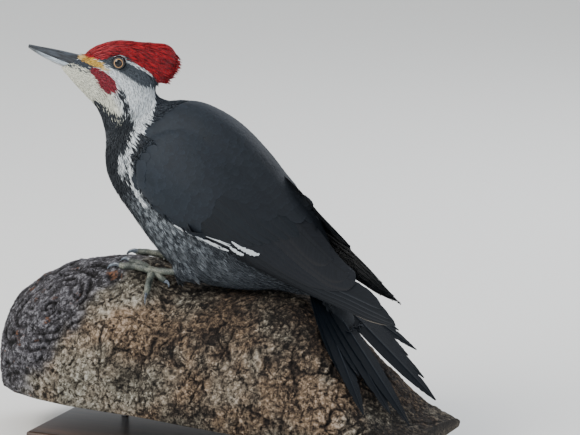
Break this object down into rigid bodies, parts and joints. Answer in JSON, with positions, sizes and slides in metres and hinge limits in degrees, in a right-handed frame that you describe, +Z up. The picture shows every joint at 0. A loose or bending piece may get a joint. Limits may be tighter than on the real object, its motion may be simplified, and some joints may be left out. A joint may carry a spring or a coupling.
{
  "type": "pileated woodpecker",
  "caption": "Still model of a male pileated woodpecker braced on its tail, gripping a short length of burled trunk held over a flat base by two rods.",
  "frame": {"origin": "centre of the underside of the stand's base, which is the bottom centre of the whole model's box", "axes": "+Z up; the bird's body faces -X, with its left side towards -Y"},
  "size_m": [0.368, 0.15, 0.3205],
  "materials": {
    "black_plumage": "soft matte feathers, charcoal black with a faint blue cast",
    "flight_feather": "smooth brownish black vanes with a low sheen",
    "white_plumage": "soft matte white feathers",
    "red_plumage": "fine scarlet feathers",
    "skin": "dark bare skin of the eyelids, finely wrinkled",
    "bill_horn": "slate grey horn, paler on the lower half, worn at the tip",
    "eye": "wet gloss, dark pupil in a narrow pale tan iris",
    "foot_scale": "grey scaled skin",
    "claw_horn": "smooth dark grey horn",
    "bark": "rough grey-brown bark, dark weathered scar at the burl, sawn pale wood at the cut end",
    "stand_board": "dark stained board, satin varnish",
    "stand_steel": "fine brushed rod"
  },
  "bodies": {
    "root": {"bill_upper": "bill_horn", "bill_lower": "bill_horn", "eye_left": "eye", "eye_right": "eye", "head": "black_plumage", "crest": "red_plumage", "neck": "black_plumage", "trunk": "black_plumage", "thigh_left": "black_plumage", "thigh_right": "black_plumage", "wing_left": "flight_feather", "wing_right": "flight_feather", "tail": "flight_feather", "foot_left": "foot_scale", "foot_right": "foot_scale", "perch_trunk": "bark", "stand_base": "stand_board", "stand_rod_front": "stand_steel", "stand_rod_rear": "stand_steel", "claw_left_1": "claw_horn", "claw_left_2": "claw_horn", "claw_left_3": "claw_horn", "claw_left_4": "claw_horn", "claw_right_1": "claw_horn", "claw_right_2": "claw_horn", "claw_right_3": "claw_horn", "claw_right_4": "claw_horn"}
  },
  "joints": []
}
